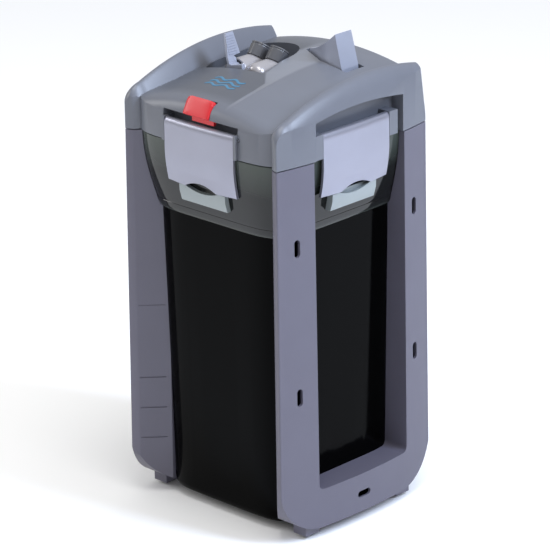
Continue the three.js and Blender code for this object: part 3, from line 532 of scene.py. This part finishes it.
def sideFramePieces():
    seam, low = canister["seamZ"], sideFrame["low"] - 2
    skin = spreadDown(prism(flankOutline(84), "z", low, seam))
    form = keepInside(skin, prism(frameProfile(0), "x", 70, 145))
    hollow = keepInside(spreadDown(prism(hollowOutline(), "z", low, 470)), prism(frameProfile(3), "x", 50, 145))
    cut(form, hollow)
    for y in (-sideFrame["rollerY"], sideFrame["rollerY"]):
        join(form, block(104, 124, y - 11, y + 11, 3.5, 20))
    for y in (-sideFrame["rollerY"], sideFrame["rollerY"]):
        well = join(rod([111, y, 7], [121, y, 7], 8.2), block(111, 121, y - 8.2, y + 8.2, -1, 7))
        cut(form, well, rod([104.5, y, 7], [123.5, y, 7], 1.75, 24))
    for y in (-sideFrame["slotY"], sideFrame["slotY"]):
        for z in sideFrame["slotZ"]:
            cut(form, prism(obround(*sideFrame["slotSize"], [y, z], True), "x", 118, 145))
    cut(form, prism(obround(*sideFrame["slotSize"], [0, sideFrame["railSlotZ"]], False), "x", 118, 145))
    for z, deep in sideFrame["grooves"]:  # shadow grooves across the slanted face
        for turn in (1, -1):
            noseX, noseY = sideFrame["nose"]
            start, end = np.array([noseX - 1, -noseY * turn + turn]), np.array([88, -96 * turn])
            grow = 1 + (sideFrame["spread"] - 1) * (451.6 - z) / 445
            start, end = start * grow, end * grow
            cut(form, rod([*start, z], [*end, z], deep, 12))
    cut(form, squareTower(outerRows(0.4), 160))
    left = copied(form, mirror=True)
    finishPiece(form, "sideFrameRight", "filter", "frameAbs", ["side_frame_right"], bevel=0.9)
    finishPiece(left, "sideFrameLeft", "filter", "frameAbs", ["side_frame_left"], bevel=0.9)


sideFramePieces()
print("side frames made")

headShape = {"side": 120.5, "front": 121, "peakZ": 526, "peakY": 58, "radius": 700, "sideDrop": 14.6,
             "tongueDrop": 4.2, "wall": 3}
archShape = {"crestX": 113, "innerX": 102, "radius": 366, "crestY": 35, "crestZ": 531, "rearY": 112.4,
             "width": 17, "height": 45, "innerDrop": 16}
pocketPlan = [[2, -20], [-9, 21], [-13, 48], [-22, 66], [-38, 77], [-60, 80], [-92, 76], [-96, 40], [-96, 0],
              [-88, -24]]
flapHole = [[73, 39.5], [31, 42.2], [-13, 66], [-13, 70.5], [73, 70.5]]


# a crown: a parabola along y about its peak, less a parabola across x
def domeZ(x, y):
    return headShape["peakZ"] - (y - headShape["peakY"]) ** 2 / (2 * headShape["radius"]) \
        - headShape["sideDrop"] * (x / 108) ** 2


def creases(y):  # the tongue's right edge and the edge where the fold dies out, as x at each y
    tongue = np.interp(y, [-121, -113, -40, -18, 21, 65, 121], [31, 30, 22, 1, -10, -22, -24])
    return tongue, np.full_like(tongue, 35.5)


# full drop left of the tongue's edge, falling in a straight line to nothing at the fold's end
def tongueDrop(x, y):
    inner, outer = creases(y)
    deep = np.interp(y, [-114, -60, 45, 105], [0, 1, 1, 0]) * headShape["tongueDrop"]
    return deep * np.clip((outer - x) / (outer - inner), 0, 1)


# the head's side outline: upright walls, a rolled front, the crown, a rolled rear
def headProfile(inset, bottom):
    deep = headShape["front"] - inset
    start = -deep + 15
    front = bezier([-deep, 484 - inset], [-deep + 0.4, 502 - inset], [start, domeZ(0, start) - inset], 16)
    y = np.linspace(start, deep - 10, 90)[1:]
    top = np.stack([y, domeZ(0, y) - inset], -1)
    rear = bezier(top[-1], [deep, domeZ(0, deep) - inset + 1], [deep, 512 - inset], 10)[1:]
    wall = np.stack([np.full(6, -deep), np.linspace(bottom, 478, 6)], -1)
    return np.concatenate([wall, front, top, rear, [[deep, bottom]]])


# the side outline carried across x on columns that follow the creases, each point lowered by
# the crown's and the tongue's fall in the share that its height has above the seam
def headBlock(inset, bottom):
    profile = headProfile(inset, bottom)
    y, z = profile[:, 0], profile[:, 1]
    edge = headShape["side"] + 1
    inner, outer = creases(y)
    columns = [(-edge + (inner + edge) * s) for s in (np.linspace(-edge, 1, 60) + edge) / (edge + 1)]
    columns += [inner + (outer - inner) * s for s in np.linspace(0, 1, 9)[1:]]
    columns += [outer + (edge - outer) * s for s in np.linspace(0, 1, 44)[1:]]
    rings = []
    for x in columns:
        top = domeZ(0, y) - inset
        weight = np.clip((z - 452) / (top - 452), 0, 1)
        fall = domeZ(0, y) - domeZ(x, y) + tongueDrop(x, y)
        rings.append(np.stack([x, y, z - weight * fall], -1))
    body = loft(rings)
    limit = squareTower([(headShape["side"] - inset, headShape["front"] - inset, h) for h in (bottom - 1, 545)])
    return keepInside(body, limit)


def crestZ(y):  # a circle's arc along y
    radius = archShape["radius"]
    return archShape["crestZ"] - radius + np.sqrt(radius ** 2 - (y - archShape["crestY"]) ** 2)


# the crest line carried across x, falling as a quarter ellipse outwards and a power curve inwards
def sideArch(bottom):
    deep = sideFrame["depth"]
    wall = np.stack([np.linspace(-deep, -deep + 0.8, 5), np.linspace(bottom, 482, 5)], -1)
    nose = bezier([-deep + 1, 485], [-deep + 2.5, 500.5], [-102, crestZ(-102)], 16)
    y = np.linspace(-102, archShape["rearY"], 70)[1:]
    crest = np.stack([y, crestZ(y)], -1)
    profile = np.concatenate([wall, nose, crest, [[deep, bottom]]])
    x = np.concatenate([np.linspace(94, 110, 12), np.linspace(110, 116, 9)[1:],
                        113 + 18 * np.sin(np.linspace(0.19, np.pi / 2, 26))[1:]])
    out = np.clip((x - archShape["crestX"]) / archShape["width"], 0, 0.9985)
    inward = np.clip((archShape["crestX"] - x) / (archShape["crestX"] - archShape["innerX"]), 0, None)
    drop = archShape["height"] * (1 - np.sqrt(1 - out ** 2)) + archShape["innerDrop"] * inward ** 1.3
    weight = np.clip((profile[:, 1] - bottom) / (crestZ(profile[:, 0]) - bottom), 0, 1)
    rings = [np.stack([np.full(len(profile), at), profile[:, 0], profile[:, 1] - fall * weight], -1)
             for at, fall in zip(x, drop)]
    return keepInside(loft(rings), prism(flankOutline(92), "z", bottom - 1, 545))


def recessForm(side):
    depth = side["reach"] - 18
    top = bezier([side["right"], side["top"]],
                 [(side["right"] - side["left"]) / 2, side["top"] + 2 * side["arch"]], [-side["left"], side["top"]], 24)
    outline = np.concatenate([[[-side["left"], 400], [side["right"], 400]], top])
    return turned(prism(outline, "y", -150, -depth), side["turn"])


def buttonForm(grow, travel):
    flat = block(-26 - grow, 14 + grow, -3 - grow * 20, 5 + grow + travel, -11 - grow, 11 + grow)
    flat.data.transform(Matrix.Rotation(math.radians(-28), 4, "X"))
    flat.data.transform(Matrix.Translation((0, -115.5 * mm, 498.2 * mm)))
    return flat


def headPiece():
    seam = canister["headZ"]
    right = sideArch(seam)
    left = copied(right, mirror=True)
    form = join(headBlock(0, seam), right, left)
    cavity = keepInside(headBlock(headShape["wall"] + 2, 447),
                        squareTower([(105, 105, 446), (105, 105, 545)], 120))
    ring = [[(x + 48) * 1.07 - 48, (y - 28) * 1.07 + 28] for x, y in pocketPlan]
    cut(cavity, prism(ring, "z", 496, 560))
    cut(form, cavity)
    for side in sides.values():
        cut(form, recessForm(side))
    for side in sides.values():
        inner, outer, back = 54.4, 68.0, side["reach"] - 19
        for low, high in ((inner, min(outer, side["right"])), (-min(outer, side["left"]), -inner)):
            ear = block(low, high, -(side["reach"] - 1), -back, seam, 480.5)
            join(form, turned(ear, side["turn"]))
    for side in sides.values():
        y = -(side["reach"] - 6)
        cut(form, turned(rod([-61.3, y, 474.5], [61.3, y, 474.5], 2.25, 24), side["turn"]))
    cut(form, prism(roundedOutline(pocketPlan, [3, 4, 8, 9, 9, 9, 9, 9, 9, 4]), "z", 499, 560))
    for x in (-56, -27):
        cut(form, rod([x, 8, 480], [x, 8, 520], 13.6))
    for y0, y1 in ((53, 60), (71, 79)):
        join(form, block(-6, 6, y0, y1, 509, 522))
    cut(form, prism(flapHole, "z", 480, 560), rod([0, 53, 515], [0, 79, 515], 2.05, 24))
    cut(form, rod([80, 100, 468], [80, 130, 468], 6.4), buttonForm(0.4, 3))
    head = finishPiece(form, "headCover", "filter", "headAbs", ["head_cover"], bevel=0.7, angle=28)
    place = vertexPlaces(head)
    x, y, z = place.T
    inner, outer = creases(y)
    # painted light on the crown: painted shade darkens the tongue left of its edge, a painted highlight lightens the
    # fold beside it
    top = np.clip((z - 492) / 8, 0, 1) * np.clip((x + 101) / 5, 0, 1) * np.clip((y + 114) / 26, 0, 1)
    foldHighlight = np.clip((x - inner) / 3.0, 0, 1) * np.clip((outer - x) / 3.0, 0, 1) * np.clip((100 - y) / 60, 0, 1)
    tongue = np.clip((inner + 1.5 - x) / 1.5, 0, 1) * np.clip((110 - y) / 40, 0, 1)
    setPaintedLightShade(head, top * (foldHighlight * 0.6 - tongue * 0.8) * (z < domeZ(x, y) + 1))


headPiece()
print("head made")

clipShape = {"half": 54, "low": 405, "pivotZ": 474.5, "thick": 3.4, "pivotIn": 6, "knuckle": 5.4, "curl": 5,
             "bow": 1.2, "lip": 3.4, "lipHalf": 50, "lipTop": 421}


def clipFace(x, z, reach):  # the plate's outer face: upright, curling in below, with a pull lip at the foot
    curl = clipShape["curl"] * np.clip((443 - z) / 38, 0, 1) ** 1.8
    bow = clipShape["bow"] * (x / clipShape["half"]) ** 2
    lip = clipShape["lip"] * np.clip(1 - (x / clipShape["lipHalf"]) ** 2, 0, 1) \
        * np.clip((clipShape["lipTop"] - z) / 16, 0, 1) ** 1.4
    return -reach + curl + bow - lip


def clipPieces():
    thick, top = clipShape["thick"], clipShape["pivotZ"] + clipShape["knuckle"]
    zs = np.concatenate([np.linspace(clipShape["low"], 425, 26),
                         np.linspace(425, clipShape["pivotZ"] - 3, 22)[1:]])
    for name, side in sides.items():
        reach = side["reach"]
        rings = []
        for x in np.linspace(-clipShape["half"], clipShape["half"], 73):
            bow = clipShape["bow"] * (x / clipShape["half"]) ** 2
            outer = np.stack([clipFace(x, zs, reach), zs], -1)
            crown = bezier(outer[-1], [-reach + bow, top], [-reach + clipShape["pivotIn"], top], 9)[1:]
            pivot = [-reach + clipShape["pivotIn"], clipShape["pivotZ"]]
            knuckle = arc(pivot, clipShape["knuckle"], 90, -90, 15)[1:]
            inner = outer[::-1][3:] + [thick, 0]
            section = np.concatenate([outer, crown, knuckle, inner])
            rings.append(np.stack([np.full(len(section), x), section[:, 0], section[:, 1]], -1))
        form = loft(rings)
        hook = block(-18, 18, -reach + thick - 0.6, -reach + thick + 8, 425, 429)
        notch = np.concatenate([bezier([26, 404], [0, 419], [-26, 404], 40), [[-26, 400], [26, 400]]])
        join(form, hook)
        cut(form, rod([-70, -reach + 6, 474.5], [70, -reach + 6, 474.5], 2.3, 32),
            prism(notch, "y", -reach - 8, -reach + 14))
        turned(form, side["turn"])
        finishPiece(form, "clip" + name.capitalize(), name + "_clip", "clipAbs", ["clip_" + name],
                    bevel=0.5, angle=40)


clipPieces()
print("clips made")

button = {"centre": (-6, -115.5, 498.2), "slope": 62, "halfWide": 20, "halfLong": 11}


def buttonPiece():
    wide, tall = button["halfWide"], button["halfLong"]
    corners = [[-wide, -tall], [wide, -tall], [wide, tall], [-wide, tall]]
    plan = roundedOutline(corners, [1.5, 1.5, 7, 7], 9)
    steep = math.radians(button["slope"])
    up = np.array([0, math.cos(steep), math.sin(steep)])
    out = np.array([0, -math.sin(steep), math.cos(steep)])
    centre = np.array(button["centre"])
    levels = [(1, -5), (1, 1.6), (0.985, 2.3), (0.955, 2.7), (0.8, 2.95), (0.5, 3.1), (0.2, 3.15)]
    rings = [centre + plan[:, :1] * scale * np.array([1, 0, 0]) + plan[:, 1:] * scale * up + height * out
             for scale, height in levels]
    form = loft(rings)
    join(form, block(-14, 12, -119.5, -115.5, 482.9, 493), block(-14, 20, -119.5, -115.5, 482.9, 488.1))
    finishPiece(form, "frontButton", "button", "redAbs", ["front_button"], bevel=0.4)


buttonPiece()

hose = {"xs": (-56, -27), "y": 24, "z": 509.8, "lean": 38, "outer": 12, "bore": 8.5, "start": 5, "length": 17}


def onHose(x, s):
    lean = math.radians(hose["lean"])
    return [x, hose["y"] + s * math.sin(lean), hose["z"] + s * math.cos(lean)]


def adapterPiece():
    plan = [[-76, -14], [-8.5, -14], [-6.6, 10], [-10.2, 24], [-12, 32], [-76, 32]]
    form = prism(roundedOutline(plan, [3, 2, 1, 1, 2, 3]), "z", 499.4, 508)
    floor = block(-90, 0, -40, 50, 499.4, 560)
    domes = None
    for x in hose["xs"]:
        stations = [(0, 6.5), (1, 9.5), (3, 12.0), (6, 13.5), (10, 14), (38, 14), (41, 13.2), (42, 12)]
        dome = keepInside(spun([x, -10, 506], [x, 32, 506], stations, 64), copied(floor))
        domes = dome if domes is None else join(domes, dome)
    bpy.data.objects.remove(floor, do_unlink=True)
    join(form, domes)
    for x in hose["xs"]:
        join(form, rod([x, 8, 466], [x, 8, 500], 9))
        cut(form, rod([x, -3.5, 509.8], [x, 19.5, 509.8], 8.35), rod([x, 8, 460], [x, 8, 509.8], 3.9, 32),
            rod([x, 8, 509.8], [x, hose["y"] + 1, 509.8], 5, 32), rod(onHose(x, 0), onHose(x, 16), 5, 32),
            rod(onHose(x, hose["start"] - 0.4), onHose(x, 50), hose["outer"] + 0.4, 64))
        cut(form, cut(rod([x, 8, 472.1], [x, 8, 475.9], 11), rod([x, 8, 470], [x, 8, 480], 7.2)))
    cut(form, block(-78, -47, -18, -2.6, 500.8, 560), rod([-56, -14, 509.8], [-56, 8, 509.8], 3.4, 32))
    finishPiece(form, "adapterBody", "filter", "pearlAbs", ["adapter_body"], bevel=0.6)


def nozzlePieces():
    for x, name in zip(hose["xs"], ("Left", "Right")):
        start, length, outer, bore = hose["start"], hose["length"], hose["outer"], hose["bore"]
        stations = [(0, outer - 0.5), (0.6, outer), (length - 3.4, outer), (length - 3, outer - 0.5),
                    (length - 2.4, outer - 0.5), (length - 2, outer), (length - 0.8, outer),
                    (length, outer - 0.8)]
        form = spun(onHose(x, start), onHose(x, start + length), stations, 96)
        cut(form, rod(onHose(x, 0), onHose(x, 40), bore, 64))
        finishPiece(form, "hoseNozzle" + name, "filter", "hoseAbs",
                    ["hose_nozzle_" + name.lower()], bevel=0.3)


def polishedCopy(node, name, body, finish, bevel=0.4, angle=30):
    twin = frame["nodes"][node].copy()
    twin.data = frame["nodes"][node].data.copy()
    for key in list(twin.keys()):
        del twin[key]
    twin.parent = None
    bpy.context.scene.collection.objects.link(twin)
    return finishPiece(twin, name, body, finish, [node], bevel, angle)


adapterPiece()
nozzlePieces()
polishedCopy("adapter_lever", "adapterLever", "lever", "leverAbs", 0.35)
print("adapter made")

handle = {"pivotZ": 515, "grip": 65.5, "topX": 54.5, "topZ": 559.5, "front": 41, "rear": 69}


def handlePiece():
    low = handle["pivotZ"] - 5
    back = bezier([handle["topX"], handle["topZ"]], [30, 537], [-6, 526.5], 30)
    outline = np.concatenate([[[-10, low], [handle["grip"] + 0.6, low], [handle["grip"], 520]], back, [[-10, 522]]])
    form = prism(outline, "y", handle["front"], handle["rear"])
    plan = [[66.5, 41], [32, 44], [-10, 67.5], [-10, 69], [66.5, 69]]
    keepInside(form, prism(roundedOutline(plan, [2, 16, 0.5, 0.5, 2], 12), "z", 490, 570))
    cut(form, rod([0, 50, 515], [0, 80, 515], 2.1, 32))
    finishPiece(form, "primingHandle", "handle", "leverAbs", ["priming_handle"], bevel=1.3,
                segments=3)


handlePiece()
polishedCopy("priming_piston", "primingPiston", "piston", "blackAbs", 0)
spring = polishedCopy("priming_spring", "primingSpring", "filter", "steel", 0)
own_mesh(spring)
print("priming handle made")


def rollerPieces():
    corners = (("front_right", 1, -1), ("rear_right", 1, 1), ("front_left", -1, -1), ("rear_left", -1, 1))
    for name, sx, sy in corners:
        x, y = sx * sideFrame["rollerX"], sy * sideFrame["rollerY"]
        stations = [(0, 4.6), (0.3, 5.0), (2, 7), (6, 7), (7.7, 5.0), (8, 4.6)]
        form = spun([x - 4, y, 7], [x + 4, y, 7], stations, 64)
        cut(form, rod([x - 6, y, 7], [x + 6, y, 7], 1.8, 32))
        finishPiece(form, "roller_" + name, "wheel_" + name, "rubber", ["roller_" + name], bevel=0.3)


rollerPieces()

waves = {"centre": (-20, -60), "length": 46, "pitch": 23, "height": 2.6, "gap": 8.4, "width": 3.4, "count": 3}


def wavePieces():  # three printed ripples: y = y0 + height * sin(2 pi x / pitch), laid on the tongue
    pieces = None
    for index in range(waves["count"]):
        run = np.linspace(-waves["length"] / 2, waves["length"] / 2, 90)
        x = waves["centre"][0] + run
        ripple = waves["height"] * np.sin(2 * np.pi * run / waves["pitch"])
        y = waves["centre"][1] + (index - 1) * waves["gap"] + ripple
        rings = []
        for across, lift in ((-1, -0.3), (1, -0.3), (1, 0.3), (0.8, 0.4), (-0.8, 0.4), (-1, 0.3)):
            yy = y + across * waves["width"] / 2
            rings.append(np.stack([x, yy, domeZ(x, yy) - tongueDrop(x, yy) + lift], -1))
        strip = loft(np.stack(rings, 1))
        pieces = strip if pieces is None else join(pieces, strip)
    finishPiece(pieces, "waveEmblem", "filter", "waveInk", bevel=0)


wavePieces()
print("rollers and emblem made")

studio = {"floor": "#ffffff", "low": 0.32, "high": 0.8}


def paleFloor():
    reach, below = 9000, -0.6
    corners = [[-reach, -reach, below], [reach, -reach, below], [reach, reach, below], [-reach, reach, below]]
    floor = formFrom(corners, [[0, 1, 2, 3]])
    floor.name = "floor"
    material, tree, _ = startMaterial("paperFloor")
    shader = addNode(tree, "ShaderNodeBsdfPrincipled", {"Base Color": linear(studio["floor"]), "Roughness": 0.9,
                                                        "Specular IOR Level": 0.1})
    floor.data.materials.append(finishMaterial(material, tree, shader))


def softLight(name, place, aim, size, power, tint="#ffffff"):
    data = bpy.data.lights.new(name, "AREA")
    data.shape = "RECTANGLE"
    data.size, data.size_y = size
    data.energy = power
    data.color = linear(tint)[:3]
    light = bpy.data.objects.new(name, data)
    light.location = place
    light.rotation_euler = (Vector(aim) - Vector(place)).to_track_quat("-Z", "Y").to_euler()
    bpy.context.scene.collection.objects.link(light)


def studioLight():
    world = bpy.data.worlds.new("studio")
    bpy.context.scene.world = world
    world.use_nodes = True
    tree = world.node_tree
    tree.nodes.clear()
    # a tent of light: bright overhead, dimmer near the floor
    place = addNode(tree, "ShaderNodeTexCoord").outputs["Generated"]
    height = addNode(tree, "ShaderNodeSeparateXYZ", {"Vector": place}).outputs["Z"]
    tent = addNode(tree, "ShaderNodeMapRange", {"Value": height, "From Min": -0.1, "From Max": 0.9,
                                                "To Min": studio["low"], "To Max": studio["high"]})
    back = addNode(tree, "ShaderNodeBackground", {"Color": (1, 1, 1, 1), "Strength": tent.outputs[0]})
    addNode(tree, "ShaderNodeOutputWorld", {"Surface": back.outputs[0]})
    softLight("keyTop", (0.6, -0.4, 2.6), (0, 0, 0.4), (1.2, 1.2), 22)
    softLight("fillLeft", (-2.4, -1.6, 1.5), (0, 0, 0.3), (0.7, 1.6), 20)
    softLight("rimRight", (2.0, 0.5, 2.1), (0, 0, 0.45), (0.6, 1.6), 68, "#d4e4ff")


paleFloor()
studioLight()
print("studio made")
